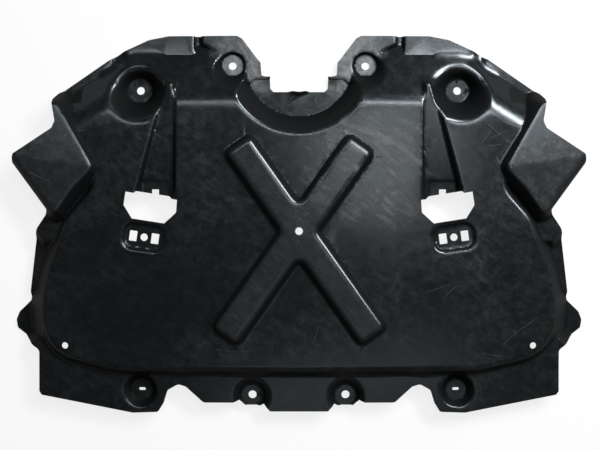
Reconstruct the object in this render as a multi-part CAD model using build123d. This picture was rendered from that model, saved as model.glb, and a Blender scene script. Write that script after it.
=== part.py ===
"""Engine splash shield: one moulded plastic sheet, road side up, millimetres.

The sheet is the space between two skins of one form. Each feature is drawn on the road face and
called twice: at the face itself, and again moved in by the wall to give the engine face.
"""
import os
from math import atan, cos, radians, sin, tan

from build123d import *

# Overall size in plan, over the sharp corners of the outline
WIDTH = 842.0
DEPTH = 555.4

# Wall and the levels of the road face above the floor
WALL = 3.0
Z_MAIN = 38.0
Z_CROSS = 47.0
Z_WING = 49.0
Z_FLANGE = 26.0
Z_SIDE = 14.0
Z_LIP = 9.0
Z_NOTCH = 5.5
Z_LOW = 3.0
Z_FRONT_SEAT = 14.0
Z_PLATE = 33.5

# Wall angles from the floor, in degrees
SLOPE_MAIN = 50.0
SLOPE_CROSS = 46.0
SLOPE_WING = 56.0
SLOPE_PIT = 51.0
SLOPE_STEEP = 68.0

# Rear fall from the panel to the lips
REAR_BEND_Y = 180.0
REAR_LIP_Y = 252.0
BEND_RADIUS = 60.0
SIDE_TURN = 31.0
SIDE_BEND = 296.0
SIDE_LIP = 340.0

# Round cut at the rear edge: x, y, floor radius
NOTCH = (0.0, 240.0, 80.0)

# Fastening points: x, y, seat radius
REAR_PIT = (236.0, 199.0, 17.9)
NOTCH_PIT = (99.0, 236.0, 15.8)
EDGE_PIT = (68.7, -251.5, 16.3)
SLOT_PIT = (231.5, -243.0, 15.3)
SCREW_HOLE = 12.0
SLOT_SIZE = (10.0, 4.4)
DRAIN = (339.3, -175.8, 9.5)
CENTRE_HOLE = (0.0, -10.0, 11.0)

# Wing top: x, y, corner radius; its rear part falls away behind a fold
WING = [(297, 82, 10), (357, 177, 4), (366, 146, 4), (425, 115, 0), (413.5, 98.6, 6), (352.0, 14.0, 5),
        (327, 51, 60)]
WING_FOLD = [(297.0, 82.0), (414.0, 99.0)]
WING_END = (354.0, 175.0)
WING_FALL = 7.0

# Panel top: x, y, corner radius; its edge is bevelled in front of a line
PANEL = [(-60, -213, 0), (262, -210, 120), (371, -183, 62), (371, -90, 220), (336, 8, 60), (290, 60, 20),
         (290, 100, 0), (420, 130, 0), (420, 400, 0), (-60, 400, 0)]
PANEL_BEVEL_END = 60.0

# Lower levels round the panel
FRONT_FLANGE = [(-60, -320), (398, -320), (398, -182), (330, -120), (-60, -120)]
SIDE_FLAT = [(300, 60), (300, -10), (372, -26), (382, -12), (392, 40)]
SIDE_BAND = [(300, 0), (300, -104), (430, -98), (430, 0)]
LIPS = [[(-60, 150), (100, 150), (106, 246), (126, 259), (144, 266), (144, 330), (-60, 330)],
        [(156, 200), (262, 200), (262, 330), (156, 330)],
        [(275, 235), (275, 150), (420, 150), (420, 330), (290, 330)]]
NOTCH_STEP = [(-60, 190), (-60, 100), (90, 100), (90, 190), (66, 214), (40, 214), (40, 190)]

# Bevel along the convex edges of the road face
EDGE_BEVEL = 2.8

# How far cutters and blocks run past the sheet, and the depth of the shallow ones
REACH = 60.0
SHALLOW = 20.0

# Raised cross
CROSS_Y = -10.0
ARM_ANGLE = 35.3
ARM_WIDTH = 36.0
ARM_UP = 150.0
ARM_DOWN = 182.0
ARM_NOTCH = 13.0
ARM_CORNER = 5.0

# Air ramp and the opening at its end
RAMP = [(183.5, 205.0), (190.5, 205.0), (238.0, 30.0), (183.5, 30.0)]
SLOPE_RAMP = 76.0
RAMP_TOP = (205.0, 36.5)
RAMP_END = (45.0, 27.5)
CLIP_SEAT = [(192.0, 30.0), (192.0, 60.0), (228.0, 60.0), (228.0, 30.0)]
CLIP_DEPTH = 2.5
OPENING = [(252.0, 47.5), (254.9, 28.2), (243.0, 8.5), (195.5, 1.1), (178.1, 16.9), (176.9, 35.2),
           (186.0, 37.0), (190.0, 41.0), (205.0, 43.4), (205.0, 51.0), (215.5, 51.0), (215.5, 45.0),
           (236.0, 48.2), (240.0, 45.5)]

# Fixing plate beside the opening
PLATE = (225.5, -18.9)
PLATE_SIZE = (55.0, 33.0)
PLATE_CORNER = 12.0
PLATE_TURN = 8.0
PLATE_HOLE = 11.0
PLATE_SLOT = (11.5, 15.0)
PLATE_SLOT_CORNER = 1.0
PLATE_PITCH = 16.0

# Outline of the right half: x, y, corner radius
OUTLINE = [(0, -274, 0), (42.4, -274, 3), (53, -262.5, 2), (58.5, -266.5, 5), (78.5, -266.5, 8),
           (86.5, -257.6, 3), (96.7, -261.1, 4), (139.9, -260.9, 8), (165.5, -237.7, 6), (177, -234, 9),
           (192.6, -242.7, 7), (198.5, -261.8, 10), (206.5, -274.6, 5), (243.1, -275.7, 12),
           (376.6, -249.4, 4), (380, -244, 3), (380.1, -184.1, 8), (400, -168.5, 6), (419, -153.6, 5),
           (421, -141.7, 6), (416.5, -130, 7), (398, -112, 8), (391, -49.8, 20), (386.5, -10, 10),
           (371, 13.5, 4), (365.4, 21.2, 4), (415.5, 89.6, 5), (411.4, 101.8, 5), (356.8, 139, 7),
           (352.6, 149.5, 7), (359, 182.5, 7), (353.8, 193.4, 8), (279.4, 244.9, 4), (262.3, 255, 5),
           (222.9, 273.2, 20), (193.2, 279, 20), (92.3, 279.7, 5), (84.9, 275.8, 4), (62.5, 246.1, 3),
           (57.2, 240.1, 3), (55.9, 220.8, 3), (43.6, 217.8, 2), (42.7, 201.4, 3), (38, 196.7, 3),
           (0, 196.7, 0)]

# How far drawn places move when the overall size is changed
SPREAD_X = WIDTH / (2 * max(x for x, _, _ in OUTLINE))
SPREAD_Y = DEPTH / (max(y for _, y, _ in OUTLINE) - min(y for _, y, _ in OUTLINE))


def spot(x, y, z=0.0):
    """Place of a drawn point on a shield of the overall size."""
    return Vector(x * SPREAD_X, y * SPREAD_Y, z)


def rounded(points):
    """Face inside a closed run of x, y, corner radius."""
    face = make_face(Polyline(*[spot(x, y) for x, y, _ in points], close=True))
    for radius in sorted({r for _, _, r in points if r}):
        marks = [spot(x, y) for x, y, r in points if r == radius]
        corners = face.vertices().filter_by(
            lambda v: any((Vector(v.X, v.Y) - mark).length < 0.01 for mark in marks))
        face = fillet(corners, radius)
    return face


def plain(points):
    """Face inside a closed run of x, y with sharp corners."""
    return rounded([(x, y, 0) for x, y in points])


def spread(face, amount):
    """Face grown by an amount, or shrunk by a negative one, with its corners kept."""
    return offset(face, amount, kind=Kind.INTERSECTION) if amount else face


def raised(face, top, slope, skin, depth=REACH):
    """Block with a flat top, its walls spreading downward at the slope."""
    wide = spread(face, depth / tan(radians(slope)) - skin * tan(radians(slope / 2)))
    return extrude(Pos(0, 0, top - skin - depth) * wide, amount=depth, taper=90 - slope)


def pocket(face, floor, slope, skin, height=REACH):
    """Cutter with a flat floor, its walls spreading upward at the slope."""
    wide = spread(face, height / tan(radians(slope)) + skin * tan(radians(slope / 2)))
    return mirror(extrude(Pos(0, 0, skin - floor - height) * wide, amount=height, taper=90 - slope), Plane.XY)


def round_pit(seat, floor, slope, skin, height=REACH, rim=None):
    """Cone cutter over a flat round seat; a rim level gets a bevelled mouth on the road face."""
    x, y, radius = seat
    run = 1 / tan(radians(slope))
    low = radius + skin * tan(radians(slope / 2))
    profile = [(0, 0), (low, 0)]
    if rim and not skin:
        turn = rim - floor - EDGE_BEVEL * sin(radians(slope))
        profile.append((low + turn * run, turn))
        low, run, height = low + turn * run, 1 / tan(radians(slope / 2)), height - turn
        profile.append((low + height * run, turn + height))
    else:
        profile.append((low + height * run, height))
    profile.append((0, profile[-1][1]))
    cone = revolve(Plane.XZ * make_face(Polyline(*profile, close=True)), Axis.Z)
    return Pos(spot(x, y, floor - skin)) * cone


def fall(bend, lip, drop_to, skin):
    """Long bar under the panel level that falls away between two lines, rounded at the bend."""
    bend, lip = bend * SPREAD_Y, lip * SPREAD_Y
    angle = atan((Z_MAIN - drop_to) / (lip - bend))
    shift = skin * tan(angle / 2)
    far = lip + 2 * REACH
    low = Z_MAIN - skin - (far - bend) * tan(angle)
    top, base, end = Z_MAIN - skin, low - REACH, far + shift
    side = Polyline((-DEPTH, base), (end, base), (end, low), (bend + shift, top), (-DEPTH, top), close=True)
    bar = extrude(Plane.YZ * make_face(side), amount=WIDTH, both=True)
    ridge = bar.edges().filter_by(Axis.X).filter_by(
        lambda e: abs(e.center().Y - bend - shift) < 0.01 and e.center().Z > low)
    return fillet(ridge, BEND_RADIUS - skin)


def under(first, second, third, skin):
    """Everything under the plane through three drawn points, moved down by the skin."""
    a, b, c = spot(*first), spot(*second), spot(*third)
    normal = (b - a).cross(c - a).normalized()
    if normal.Z < 0:
        normal = normal * -1
    plane = Plane(a - normal * skin, x_dir=b - a, z_dir=normal)
    return plane * Box(2 * WIDTH, 2 * WIDTH, 2 * REACH, align=(Align.CENTER, Align.CENTER, Align.MAX))


def cross_face():
    """Top of the raised cross, its right side drawn and mirrored."""
    half, turn = ARM_WIDTH / 2, radians(ARM_ANGLE)
    along, across = Vector(sin(turn), cos(turn)), Vector(cos(turn), -sin(turn))
    down, aside = Vector(sin(turn), -cos(turn)), Vector(cos(turn), sin(turn))
    right = [(along * ARM_UP - across * half, ARM_CORNER), (along * ARM_UP + across * half, ARM_CORNER),
             (Vector(half / cos(turn), 0), ARM_NOTCH),
             (down * ARM_DOWN + aside * half, ARM_CORNER), (down * ARM_DOWN - aside * half, ARM_CORNER)]
    points = [(0, half / sin(turn), ARM_NOTCH)] + [(v.X, v.Y, r) for v, r in right]
    points += [(0, -half / sin(turn), ARM_NOTCH)] + [(-v.X, v.Y, r) for v, r in reversed(right)]
    return Pos(spot(0, CROSS_Y)) * rounded(points)


def level(body, z):
    """Edges of a body that lie flat at one height."""
    return body.edges().filter_by(
        lambda e: abs(e.bounding_box().min.Z - z) < 0.02 and abs(e.bounding_box().max.Z - z) < 0.02)


def bevelled(body, edges, skin):
    """Bevel the convex edges of the road face; inside the wall the engine face stays crisp."""
    return body if skin else chamfer(edges, EDGE_BEVEL)


def panel_form(skin):
    """Main panel with its rear fall, rear seats, round cut, cross, fixing plate and air ramp."""
    over = Z_CROSS - Z_MAIN
    body = raised(spread(rounded(PANEL), -over / tan(radians(SLOPE_MAIN))), Z_MAIN + over, SLOPE_MAIN, skin)
    body &= fall(REAR_BEND_Y, REAR_LIP_Y, Z_LIP, skin)
    body &= Rot(0, 0, -SIDE_TURN) * fall(SIDE_BEND, SIDE_LIP, Z_LIP, skin)
    bevel_end = PANEL_BEVEL_END * SPREAD_Y
    edge = [e for e in level(body, Z_MAIN - skin) if e.center().X > WALL and e.center().Y < bevel_end]
    body = bevelled(body, edge, skin)

    body -= round_pit(REAR_PIT, Z_LOW, SLOPE_PIT, skin, rim=Z_MAIN)
    body -= round_pit(NOTCH_PIT, Z_LOW, SLOPE_PIT, skin)
    body -= round_pit(NOTCH, Z_LIP, SLOPE_PIT, skin, rim=Z_MAIN)

    cross = raised(cross_face(), Z_CROSS, SLOPE_CROSS, skin, Z_CROSS - Z_MAIN + WALL)
    body += bevelled(cross, level(cross, Z_CROSS - skin), skin)

    plate = Pos(spot(*PLATE)) * Rot(0, 0, PLATE_TURN) * RectangleRounded(*PLATE_SIZE, PLATE_CORNER)
    body -= pocket(plate, Z_PLATE, SLOPE_MAIN, skin, SHALLOW)

    # The ramp stands over the rear fall at its tip and sinks into the panel at its wide end
    slant = [(0, *RAMP_TOP), (RAMP[0][0], *RAMP_TOP), (0, *RAMP_END)]
    floor = under(*slant, skin)
    ramp = plain(RAMP)
    body -= pocket(ramp, RAMP_END[1] - WALL, SLOPE_RAMP, skin, SHALLOW) - floor
    body += raised(ramp, RAMP_TOP[1] + WALL, SLOPE_RAMP, skin, RAMP_TOP[1]) & floor
    seat = pocket(plain(CLIP_SEAT), Z_PLATE - SHALLOW, SLOPE_RAMP, skin, SHALLOW)
    body -= seat - under(*slant, skin + CLIP_DEPTH)
    return body


def flange_form(skin):
    """Lower levels round the panel: front flange, side flats and rear lips on the lowest level."""
    low = Box(WIDTH, 2 * DEPTH, REACH, align=(Align.CENTER, Align.CENTER, Align.MAX))
    body = Pos(0, 0, Z_LOW - skin) * low
    body += raised(plain(FRONT_FLANGE), Z_FLANGE, SLOPE_MAIN, skin)
    body += raised(plain(SIDE_FLAT), Z_FLANGE, SLOPE_MAIN, skin)
    body += raised(plain(SIDE_BAND), Z_SIDE, SLOPE_MAIN, skin)
    for lip in LIPS:
        body += raised(plain(lip), Z_LIP, SLOPE_STEEP, skin)
    return body


def wing_form(skin):
    """Raised wing with a flat top and a fold behind it."""
    wing = raised(rounded(WING), Z_WING, SLOPE_WING, skin)
    wing = bevelled(wing, level(wing, Z_WING - skin), skin)
    first, second = WING_FOLD
    return wing & under((*first, Z_WING), (*second, Z_WING), (*WING_END, Z_WING - WING_FALL), skin)


def form(skin):
    """Everything under one skin of the right half, before trimming."""
    body = panel_form(skin) + flange_form(skin) + wing_form(skin)
    middle = Pos(spot(*NOTCH[:2])) * Circle(NOTCH[2]) & plain(NOTCH_STEP)
    body -= pocket(middle, Z_NOTCH, SLOPE_PIT, skin)
    for seat in (REAR_PIT, NOTCH_PIT):
        body -= round_pit(seat, Z_LOW, SLOPE_PIT, skin, Z_LIP)
    for seat in (EDGE_PIT, SLOT_PIT):
        body -= round_pit(seat, Z_FRONT_SEAT, SLOPE_PIT, skin, SHALLOW)
    return body


def holes():
    """Cutters for every opening of the right half."""
    cut = []
    for x, y, _ in (REAR_PIT, NOTCH_PIT, EDGE_PIT):
        cut.append(Pos(spot(x, y)) * Cylinder(SCREW_HOLE / 2, 2 * REACH))
    cut.append(Pos(spot(*SLOT_PIT[:2])) * extrude(SlotOverall(*SLOT_SIZE), amount=REACH))
    for x, y, size in (DRAIN, CENTRE_HOLE):
        cut.append(Pos(spot(x, y)) * Cylinder(size / 2, 2 * REACH))
    plate = Pos(spot(*PLATE)) * Rot(0, 0, PLATE_TURN)
    cut.append(plate * Cylinder(PLATE_HOLE / 2, 2 * REACH))
    slot = extrude(RectangleRounded(*PLATE_SLOT, PLATE_SLOT_CORNER), amount=REACH)
    for side in (-PLATE_PITCH, PLATE_PITCH):
        cut.append(plate * Pos(side, 0) * slot)
    cut.append(extrude(plain(OPENING), amount=REACH))
    return cut


part = form(0) - form(WALL)
part &= extrude(Pos(0, 0, -REACH) * rounded(OUTLINE), amount=2 * REACH)
part -= holes()
part += mirror(part, Plane.YZ)
part = part.clean()
box = part.bounding_box()
part = Pos(0, -box.center().Y, -box.min.Z) * part
part.label = "splash_shield"
print("solids", len(part.solids()), "faces", len(part.faces()), part.bounding_box())
os.makedirs("parts", exist_ok=True)
export_step(part, "parts/splash_shield.step")
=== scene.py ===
from math import pi, radians

import bmesh
import bpy
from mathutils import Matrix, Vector


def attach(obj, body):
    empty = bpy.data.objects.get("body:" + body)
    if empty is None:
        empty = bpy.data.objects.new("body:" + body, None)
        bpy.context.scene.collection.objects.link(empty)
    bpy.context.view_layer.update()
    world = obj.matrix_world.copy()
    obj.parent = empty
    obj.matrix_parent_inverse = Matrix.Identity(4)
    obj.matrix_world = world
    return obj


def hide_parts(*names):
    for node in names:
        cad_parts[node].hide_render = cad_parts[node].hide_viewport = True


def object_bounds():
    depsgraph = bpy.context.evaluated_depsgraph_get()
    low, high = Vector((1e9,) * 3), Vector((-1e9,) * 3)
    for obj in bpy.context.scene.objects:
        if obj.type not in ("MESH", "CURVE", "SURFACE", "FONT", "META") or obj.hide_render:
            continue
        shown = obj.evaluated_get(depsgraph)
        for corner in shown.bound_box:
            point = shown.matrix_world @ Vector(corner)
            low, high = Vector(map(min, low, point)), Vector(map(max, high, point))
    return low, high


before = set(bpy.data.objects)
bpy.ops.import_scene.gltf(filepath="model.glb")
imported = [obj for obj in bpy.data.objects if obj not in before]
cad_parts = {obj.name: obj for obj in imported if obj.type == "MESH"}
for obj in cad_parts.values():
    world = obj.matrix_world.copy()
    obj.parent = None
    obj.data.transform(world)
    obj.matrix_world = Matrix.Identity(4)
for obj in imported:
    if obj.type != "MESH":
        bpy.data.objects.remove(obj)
cad_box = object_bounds()

# Shield mesh, metres: the grid that the road face is cut to, and the wall
MERGE_REACH = 0.00001
FLAT_ANGLE = radians(0.4)
ROAD_FACING = 0.1
GRID = 0.0021
WALL = 0.003

# Level cells are joined again, in blocks of so many cells a side
BLOCK = 12
EVEN_ANGLE = radians(0.15)

# Edges that stay crisp, and cells that count as the foot of a wall on the side of the key lamp, which take
# the dark matt plastic as painted shade
CORNER_ANGLE = radians(50)
FOOT_ANGLE = radians(10)
FOOT_LEVEL = 0.988
FOOT_RISE = 0.0001
FOOT_TURN = 0.04
WALL_LEVEL = 0.86
KEY_LEAN = 0.12

# How often heights are evened out: off the ramps, on them, round the rear seats, on the round rim
EASE_SHARE = 0.5
EASE_SOFT = 2
EASE_RAMP = 2
EASE_REAR = 24
EASE_RIM = 10

# Where those places are, metres
RAMP_SIDE = 0.176
RAMP_FRONT = -0.045
RAMP_TIP = (0.1975, 0.208)
RAMP_FLARE = 0.271
REAR_SEAT = (0.236, 0.197)
REAR_SEAT_REACH = (0.023, 0.064)
ROUND_CUT = (0.0, 0.238)
ROUND_RIM = (0.096, 0.124)
ROUND_END = 0.185

# Camera over the shield, metres and millimetres
CAMERA_PLACE = (0.00145, -0.0031, 1.238)
CAMERA_LENS = 49.7
SENSOR_WIDTH = 36.0

# Stage
FLOOR_PROFILE = [(0.0, 0.0), (4.4, 0.0), (5.3, 0.12), (5.8, 0.4), (6.0, 0.8), (6.0, 1.3)]
FLOOR_SIDES = 64
FLOOR_GREY = 0.86
FLOOR_GLOW = 0.82
WORLD_GREY = 0.05

# Soft lamps, all aimed at the shield: name, place, width, depth, watts
LAMPS = [("rear_softbox", (0.10, 0.70, 1.9), 1.1, 0.12, 1.4),
         ("back_strip", (0.40, 0.97, 1.9), 0.95, 0.14, 10.0),
         ("left_strip", (-0.50, 0.97, 1.9), 0.80, 0.14, 3.0),
         ("over_softbox", (0.31, 0.27, 1.9), 0.42, 0.42, 2.0),
         ("front_softbox", (0.15, -0.62, 1.9), 0.9, 0.2, 0.5),
         ("key_softbox", (1.06, 1.00, 1.26), 1.15, 0.36, 46.0)]
LAMP_TARGET = Vector((0.0, 0.0, 0.02))

# Plastic: a darker tone for the painted shade on steep walls, clean, worn, and a pale grey for the painted
# reflection on the ears
SHADE_DEEP = (0.0022, 0.0026, 0.0030, 1)
BLACK = (0.0042, 0.0052, 0.0058, 1)
WORN = (0.075, 0.080, 0.085, 1)
SHEEN_PALE = (0.210, 0.215, 0.220, 1)

TINT = (0.9, 1.0, 1.07, 1)
IOR = 1.52

# Noises in the plastic: scale, detail, roughness, distortion
SWING = (9.0, 2.0)
CLOUD = (6.0, 5.0, 0.6, 0.8)
MOTTLE = (70.0, 8.0, 0.75, 0.5)
BLOTCH = (26.0, 4.0, 0.6, 0.6)
GRAIN = (900.0, 3.0)
STREAK = (1.0, 3.0, 0.6)
WALL_GRAIN = (70.0, 6.0, 0.7)

# Levels between which each of them comes in, and heights for the raised tops, metres
WIPED_RANGE = (0.40, 0.68)
PATCH_RANGE = (0.42, 0.66)
BLOTCH_RANGE = (0.40, 0.62)
STREAK_RANGE = (0.45, 0.72)
# Upright levels between which the painted shade of the steep walls gives way to the polished plastic
LEVEL_RANGE = (0.80, 0.90)
TOP_RANGE = (0.0445, 0.0465)
NEAR_FULL = 0.55
IN_PLAN = (1, 1, 0)
SWING_REACH = (0.035, 0.035, 0.035)

# How much wear shows: in the scuffed place, in wiped clouds and anywhere
SCUFFS_MOST, SCUFFS_WIPED, SCUFFS_LEAST = 1.5, 0.15, 0.025
DUST_MOST, DUST_WIPED, DUST_LEAST = 0.4, 0.10, 0.03
TOP_WEAR = 0.10
LINE_WEAR = 0.8
# Painted reflection on the ears: its even share and its mottled share
EAR_SHEEN, EAR_SHEEN_MOTTLE = 0.25, 0.9

# Sheen and grain of the plastic, then of its matt walls
ROUGH, ROUGH_CLOUD, ROUGH_PATCH, ROUGH_WEAR = 0.15, 0.06, 0.06, 0.30
GRAIN_STRENGTH, GRAIN_DEPTH, GRAIN_MOTTLE = 0.10, 0.0003, 2.0
# The matt walls are painted darker as shade and given little shine
WALL_ROUGH, WALL_ROUGH_GRAIN, WALL_FADE, WALL_SHINE = 0.5, 0.2, 0.3, 0.1

# Wiped streaks: turn, length, width and strength; the place that has most of them
STREAKS = [(-0.60, 0.050, 0.0080, 1.0), (-0.50, 0.020, 0.0028, 0.35), (0.45, 0.045, 0.0065, 0.3)]
SCUFFED = (0.125, 0.095)
SCUFFED_REACH = 0.105

# Ears beside the rear cut, painted pale: a painted reflection
EAR = (0.074, 0.243)
EAR_REACH = 0.062
EAR_TOP = 0.012
EAR_FADE = 0.002

# Single scratches: x, y, turn, length, width, metres
SCRATCHES = [(0.341, -0.135, 0.67, 0.066, 0.0007), (0.222, -0.079, 0.35, 0.040, 0.0006),
             (0.236, -0.088, 0.75, 0.030, 0.0005), (0.105, 0.128, -0.5, 0.075, 0.0007),
             (0.150, 0.095, -0.62, 0.060, 0.0006), (0.300, -0.170, -0.2, 0.035, 0.0006),
             (-0.310, 0.150, 0.25, 0.045, 0.0007), (-0.355, 0.085, -0.5, 0.040, 0.0008),
             (-0.080, -0.165, 0.1, 0.050, 0.0005), (0.045, -0.150, 1.2, 0.040, 0.0005),
             (0.297, 0.152, -0.9, 0.034, 0.0006), (0.306, 0.146, 0.5, 0.026, 0.0005),
             (0.288, 0.141, 1.1, 0.022, 0.0005), (0.318, 0.160, -0.4, 0.030, 0.0006),
             (0.301, 0.128, 0.1, 0.020, 0.0005), (0.334, 0.105, 0.8, 0.024, 0.0006)]
SCRATCH_FADE = 4.0


class Wire:
    """An output socket of a finish; arithmetic on it adds Math nodes."""

    def __init__(self, finish, socket):
        self.finish = finish
        self.socket = socket

    def math(self, operation, *values, clamp=False):
        settings = {"operation": operation, "use_clamp": clamp}
        return self.finish.node("ShaderNodeMath", settings, dict(enumerate(values)))

    def __add__(self, other):
        return self.math("ADD", self, other)

    def __radd__(self, other):
        return self.math("ADD", other, self)

    def __sub__(self, other):
        return self.math("SUBTRACT", self, other)

    def __rsub__(self, other):
        return self.math("SUBTRACT", other, self)

    def __mul__(self, other):
        return self.math("MULTIPLY", self, other)

    def __rmul__(self, other):
        return self.math("MULTIPLY", other, self)

    def __abs__(self):
        return self.math("ABSOLUTE", self)

    def other(self, name):
        """Another output of the same node."""
        return Wire(self.finish, self.socket.node.outputs[name])

    def clamped(self):
        """The value held between zero and one."""
        return self.math("ADD", self, 0.0, clamp=True)


class Finish:
    """A material and the nodes that make it."""

    def __init__(self, name):
        self.material = bpy.data.materials.new(name)
        self.material.use_nodes = True
        self.tree = self.material.node_tree
        self.tree.nodes.clear()

    def node(self, kind, settings=None, sockets=None, output=0):
        """Add one node: its settings first, then its sockets by name or number."""
        made = self.tree.nodes.new(kind)
        for name, value in (settings or {}).items():
            if name == "stops":
                for stop, (place, level) in zip(made.color_ramp.elements, value):
                    stop.position = place
                    stop.color = (level, level, level, 1.0)
            else:
                setattr(made, name, value)
        for name, value in (sockets or {}).items():
            if isinstance(value, Wire):
                self.tree.links.new(value.socket, made.inputs[name])
            else:
                made.inputs[name].default_value = value
        return Wire(self, made.outputs[output]) if made.outputs else None

    def blend(self, factor, first, second):
        """Colour between two colours."""
        return self.node("ShaderNodeMix", {"data_type": "RGBA"}, {0: factor, 6: first, 7: second}, 2)

    def noise(self, at, scale, detail=3.0, roughness=0.5, distortion=0.0, output=0):
        return self.node("ShaderNodeTexNoise", {}, {
            "Vector": at, "Scale": scale, "Detail": detail, "Roughness": roughness,
            "Distortion": distortion}, output)

    def vector(self, operation, *values, output=0):
        """Vector maths on places."""
        settings = {"operation": operation}
        return self.node("ShaderNodeVectorMath", settings, dict(enumerate(values)), output)

    def laid(self, at, place, turn, size):
        """Places measured from a turned and stretched mark."""
        return self.node("ShaderNodeMapping", {"vector_type": "TEXTURE"}, {
            "Vector": at, "Location": place, "Rotation": (0, 0, turn), "Scale": size})

    def ramp(self, value, low, high):
        """Zero below one level, one above another."""
        return self.node("ShaderNodeValToRGB", {"stops": [(low, 0.0), (high, 1.0)]}, {0: value})

    def near(self, at, place, reach):
        """One round a place in plan, falling to zero at its reach."""
        away = self.vector("DISTANCE", at, (*place, 0), output="Value")
        return self.ramp(1.0 - away * (1.0 / reach), 0.0, NEAR_FULL)

    def close(self, surface):
        self.node("ShaderNodeOutputMaterial", {}, {"Surface": surface})
        return self.material


def wiped_streaks(finish, swung):
    """Streaks in each direction that the sheet was wiped in."""
    streaks = 0.0
    for turn, length, width, strength in STREAKS:
        lines = finish.laid(swung, (0, 0, 0), turn, (length, width, length))
        streaks = streaks + finish.ramp(finish.noise(lines, *STREAK), *STREAK_RANGE) * strength
    return streaks


def single_scratches(finish, swung):
    """Each scratch a thin line that fades at its ends."""
    scratched = 0.0
    for x, y, turn, length, width in SCRATCHES:
        along = finish.laid(swung, (x, y, 0), turn, (length / 2, width / 2, 1))
        u = finish.node("ShaderNodeSeparateXYZ", {}, {0: along}, "X")
        across = (1.0 - abs(u.other("Y"))).clamped()
        scratched = scratched + across * ((1.0 - abs(u)) * SCRATCH_FADE).clamped()
    return scratched


def black_plastic():
    """Black moulded plastic, handled: cloudy, wiped and scratched, with a painted reflection on the pale
    ears and painted shade, darker and matt, on steep walls.
    """
    finish = Finish("black_plastic")
    at = finish.node("ShaderNodeTexCoord", output="Object")
    height = finish.node("ShaderNodeSeparateXYZ", {}, {0: at}, "Z")
    swung = finish.vector("MULTIPLY_ADD", finish.noise(at, *SWING, output="Color"), SWING_REACH, at)
    cloud = finish.noise(at, *CLOUD)
    mottle = finish.noise(at, *MOTTLE)
    wiped = finish.ramp(cloud, *WIPED_RANGE)
    patches = finish.ramp(mottle, *PATCH_RANGE)
    blotches = finish.ramp(finish.noise(at, *BLOTCH), *BLOTCH_RANGE)
    tops = finish.ramp(height, *TOP_RANGE)

    plan = finish.vector("MULTIPLY", swung, IN_PLAN)
    scuffed = finish.near(plan, SCUFFED, SCUFFED_REACH) * blotches
    folded = finish.vector("ABSOLUTE", finish.vector("MULTIPLY", at, IN_PLAN))
    # Pale ears beside the rear cut: painted reflection, mottled
    ear_sheen = finish.near(folded, EAR, EAR_REACH) * finish.ramp(EAR_TOP - height, 0.0, EAR_FADE)
    scuffs = wiped_streaks(finish, swung) * (
        scuffed * SCUFFS_MOST + wiped * blotches * SCUFFS_WIPED + SCUFFS_LEAST)
    dust = patches * (scuffed * DUST_MOST + wiped * DUST_WIPED + DUST_LEAST)
    lines = scuffs * LINE_WEAR + single_scratches(finish, swung) * LINE_WEAR
    # Wear, with the ears' painted reflection added in
    wear = (dust + tops * TOP_WEAR + ear_sheen * (EAR_SHEEN_MOTTLE * mottle + EAR_SHEEN) + lines).clamped()

    grain = finish.noise(at, *GRAIN)
    polished = finish.node("ShaderNodeBsdfPrincipled", {}, {
        "Base Color": finish.blend(ear_sheen * patches, finish.blend(wear, BLACK, WORN), SHEEN_PALE),
        "Roughness": ROUGH + cloud * ROUGH_CLOUD + patches * ROUGH_PATCH + wear * ROUGH_WEAR,
        "Normal": finish.node("ShaderNodeBump", {}, {
            "Strength": GRAIN_STRENGTH, "Distance": GRAIN_DEPTH, "Height": grain + mottle * GRAIN_MOTTLE}),
        "IOR": IOR, "Specular Tint": TINT})
    # Steep walls take the darker, near shine-less plastic: painted shade
    facing = finish.node("ShaderNodeTexCoord", output="Normal")
    upright = abs(finish.node("ShaderNodeSeparateXYZ", {}, {0: facing}, "Z"))
    level = finish.ramp(upright, *LEVEL_RANGE)
    return finish.close(finish.node("ShaderNodeMixShader", {}, {
        0: level, 1: shaded_wall_shader(finish, at), 2: polished}))


def shaded_wall_shader(finish, at):
    """Matt plastic of the steep walls, painted darker and with almost no reflection: painted shade."""
    grain = finish.noise(at, *WALL_GRAIN)
    return finish.node("ShaderNodeBsdfPrincipled", {}, {
        "Base Color": finish.blend(grain * WALL_FADE, SHADE_DEEP, BLACK),
        "Roughness": WALL_ROUGH + grain * WALL_ROUGH_GRAIN,
        "Specular IOR Level": WALL_SHINE})


def shaded_foot_plastic():
    """Matt plastic alone, at the foot of the walls: painted shade where the fold would catch a highlight.
    """
    finish = Finish("shaded_foot_plastic")
    return finish.close(shaded_wall_shader(finish, finish.node("ShaderNodeTexCoord", output="Object")))


def pale_floor():
    """Plain pale floor that shows near white and keeps a soft shadow."""
    finish = Finish("pale_floor")
    path = finish.node("ShaderNodeLightPath", output="Is Camera Ray")
    seen = path + path.other("Is Glossy Ray") + path.other("Is Transmission Ray")
    matt = finish.node("ShaderNodeBsdfDiffuse", {}, {"Color": (FLOOR_GREY, FLOOR_GREY, FLOOR_GREY, 1)})
    glow = finish.node("ShaderNodeEmission", {}, {"Color": (1, 1, 1, 1), "Strength": 1.0})
    return finish.close(finish.node("ShaderNodeMixShader", {}, {
        0: seen * FLOOR_GLOW, 1: matt, 2: glow}))


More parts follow.
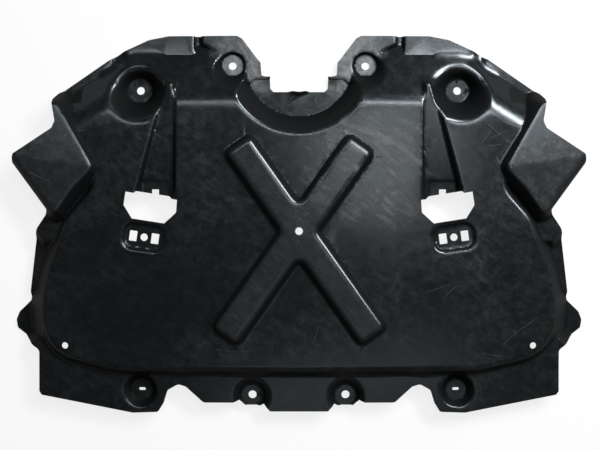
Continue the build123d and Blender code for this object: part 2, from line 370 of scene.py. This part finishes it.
def grid_cut(mesh, faces, axis, start, first, last):
    """Cut faces along the grid lines from first to last, half of them at a time."""
    if first > last or not faces:
        return
    middle = (first + last) // 2
    normal = Vector((0, 0, 0))
    normal[axis] = 1.0
    place = start + middle * GRID
    edges = dict.fromkeys(edge for face in faces for edge in face.edges)
    verts = dict.fromkeys(vert for face in faces for vert in face.verts)
    cut = bmesh.ops.bisect_plane(mesh, geom=list(verts) + list(edges) + faces, dist=MERGE_REACH,
                                 plane_co=normal * place, plane_no=normal)
    faces = [face for face in cut["geom"] if isinstance(face, bmesh.types.BMFace)]
    near = [face for face in faces if face.calc_center_bounds()[axis] < place]
    far = [face for face in faces if face.calc_center_bounds()[axis] >= place]
    grid_cut(mesh, near, axis, start, first, middle - 1)
    grid_cut(mesh, far, axis, start, middle + 1, last)


def on_grid_line(edge, low, every=1):
    """Whether an edge runs along one of the grid's cuts, or along one in so many."""
    pitch = GRID * every
    first, second = (vert.co for vert in edge.verts)
    for axis in (0, 1):
        step = (first[axis] - low[axis]) / pitch
        level = abs(first[axis] - second[axis]) < MERGE_REACH
        if level and abs(step - round(step)) * pitch < 2 * MERGE_REACH:
            return True
    return False


def ease(mesh, verts, steps, fill=False):
    """Even out heights between neighbours, places in plan kept; without fill no place rises."""
    heights = [vert.co.z for vert in verts]
    for _ in range(steps):
        bmesh.ops.smooth_vert(mesh, verts=verts, factor=EASE_SHARE, use_axis_z=True)
    if not fill:
        for vert, height in zip(verts, heights):
            vert.co.z = min(vert.co.z, height)


def on_ramp(place):
    """Whether a place is on an air ramp, its opening or the plate in front of it."""
    flared = RAMP_TIP[0] + (RAMP_TIP[1] - place.y) * RAMP_FLARE
    return RAMP_FRONT < place.y < RAMP_TIP[1] and RAMP_SIDE < abs(place.x) < flared


def at_rear(place):
    """Whether a place is round a rear screw seat."""
    away = Vector((abs(place.x), place.y)) - Vector(REAR_SEAT)
    return REAR_SEAT_REACH[0] < away.length < REAR_SEAT_REACH[1]


def on_round_rim(place):
    """Whether a place is on the rim of the round cut."""
    away = Vector((place.x, place.y)) - Vector(ROUND_CUT)
    return ROUND_RIM[0] < away.length < ROUND_RIM[1] and place.y < ROUND_END


def is_even(vert):
    """Whether all the cells round a vertex lie in one plane."""
    return all(edge.calc_face_angle(0) < EVEN_ANGLE for edge in vert.link_edges)


def merge_level(mesh, low):
    """Join the level cells into blocks, leaving the cells beside every fold as they are."""
    mesh.normal_update()
    even = {vert for vert in mesh.verts if is_even(vert)}
    for edge in mesh.edges:
        edge.seam = on_grid_line(edge, low, BLOCK)
    bmesh.ops.dissolve_limit(
        mesh,
        angle_limit=EVEN_ANGLE,
        verts=[vert for vert in mesh.verts if vert in even],
        edges=[edge for edge in mesh.edges if even.issuperset(edge.verts)],
        delimit={"SEAM"},
    )


def road_skin():
    """Road face of the sheet alone, cut to an even grid and eased so that its folds run soft."""
    mesh = bmesh.new()
    mesh.from_mesh(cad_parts["splash_shield"].data)
    bmesh.ops.remove_doubles(mesh, verts=mesh.verts, dist=MERGE_REACH)
    hidden = [face for face in mesh.faces if face.normal.z < ROAD_FACING]
    bmesh.ops.delete(mesh, geom=hidden, context="FACES")
    bmesh.ops.dissolve_limit(mesh, angle_limit=FLAT_ANGLE, verts=mesh.verts, edges=mesh.edges)
    low, high = cad_box
    for axis in (0, 1):
        grid_cut(mesh, mesh.faces[:], axis, low[axis], 1, int((high[axis] - low[axis]) / GRID))
    stray = [edge for edge in mesh.edges if not edge.is_boundary and not on_grid_line(edge, low)]
    bmesh.ops.dissolve_edges(mesh, edges=stray, use_verts=True)
    ramps = [vert for vert in mesh.verts if on_ramp(vert.co)]
    rest = [vert for vert in mesh.verts if not on_ramp(vert.co)]
    ease(mesh, rest, EASE_SOFT)
    ease(mesh, ramps, EASE_RAMP, fill=True)
    ease(mesh, [vert for vert in mesh.verts if on_round_rim(vert.co)], EASE_RIM)
    ease(mesh, [vert for vert in rest if at_rear(vert.co)], EASE_REAR, fill=True)
    merge_level(mesh, low)
    return mesh


def faces_key(face):
    """Whether a face on the road side leans to the key lamp."""
    return face.normal.z > 0 and face.normal.x + face.normal.y > KEY_LEAN


def is_crisp(edge):
    """Whether an edge is a corner of the sheet, or the foot of a wall that leans to the key lamp."""
    angle = edge.calc_face_angle_signed(0.0)
    foot = angle < -FOOT_ANGLE and any(faces_key(face) for face in edge.link_faces)
    return foot or abs(angle) > CORNER_ANGLE


def at_foot(face):
    """Whether a face on the road side has a steeper one above it, as at the foot of a wall; such faces on
    the key lamp's side get painted shade.
    """
    if not faces_key(face) or face.normal.z > FOOT_LEVEL or on_ramp(face.verts[0].co):
        return False
    height = face.calc_center_median().z + FOOT_RISE
    steep = min(face.normal.z - FOOT_TURN, WALL_LEVEL)
    for edge in face.edges:
        for other in edge.link_faces:
            if 0 < other.normal.z < steep and other.calc_center_median().z > height:
                return True
    return False


def shield_piece():
    """The moulded sheet: its road face, given the wall."""
    mesh = road_skin()
    bmesh.ops.solidify(mesh, geom=mesh.faces[:], thickness=WALL)
    for face in mesh.faces:
        face.smooth = True
        # Feet of walls that lean to the key lamp get the dark matt plastic: painted shade
        face.material_index = 1 if at_foot(face) else 0
    for edge in mesh.edges:
        edge.smooth = not is_crisp(edge)
    data = bpy.data.meshes.new("moulded_sheet")
    data.materials.append(black_plastic())
    data.materials.append(shaded_foot_plastic())
    mesh.to_mesh(data)
    mesh.free()
    piece = bpy.data.objects.new("moulded_sheet", data)
    bpy.context.scene.collection.objects.link(piece)
    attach(piece, "root")
    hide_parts("splash_shield")


def floor_piece():
    """Round floor that curves up far from the shield."""
    mesh = bmesh.new()
    verts = [mesh.verts.new((reach, 0, height)) for reach, height in FLOOR_PROFILE]
    edges = [mesh.edges.new(pair) for pair in zip(verts, verts[1:])]
    bmesh.ops.spin(mesh, geom=verts + edges, angle=2 * pi, steps=FLOOR_SIDES, axis=(0, 0, 1),
                   cent=(0, 0, 0), use_merge=True)
    bmesh.ops.remove_doubles(mesh, verts=mesh.verts, dist=MERGE_REACH)
    bmesh.ops.recalc_face_normals(mesh, faces=mesh.faces)
    for face in mesh.faces:
        face.smooth = True
    data = bpy.data.meshes.new("floor")
    mesh.to_mesh(data)
    mesh.free()
    data.materials.append(pale_floor())
    floor = bpy.data.objects.new("floor", data)
    bpy.context.scene.collection.objects.link(floor)


def light_stage():
    """World and lamps."""
    world = bpy.data.worlds.new("studio")
    world.use_nodes = True
    backdrop = world.node_tree.nodes["Background"]
    backdrop.inputs["Color"].default_value = (WORLD_GREY, WORLD_GREY, WORLD_GREY, 1)
    bpy.context.scene.world = world
    for name, place, width, depth, watts in LAMPS:
        lamp = bpy.data.lights.new(name, "AREA")
        lamp.shape = "RECTANGLE"
        lamp.size, lamp.size_y = width, depth
        lamp.energy = watts
        holder = bpy.data.objects.new(name, lamp)
        holder.location = place
        aim = LAMP_TARGET - Vector(place)
        holder.rotation_euler = aim.to_track_quat("-Z", "Y").to_euler()
        bpy.context.scene.collection.objects.link(holder)


def place_camera():
    """Camera straight over the shield."""
    lens = bpy.data.cameras.new("camera")
    lens.lens = CAMERA_LENS
    lens.sensor_width = SENSOR_WIDTH
    camera = bpy.data.objects.new("camera", lens)
    camera.location = CAMERA_PLACE
    bpy.context.scene.collection.objects.link(camera)
    bpy.context.scene.camera = camera


shield_piece()
floor_piece()
light_stage()
place_camera()
bpy.context.scene.view_settings.view_transform = "Standard"
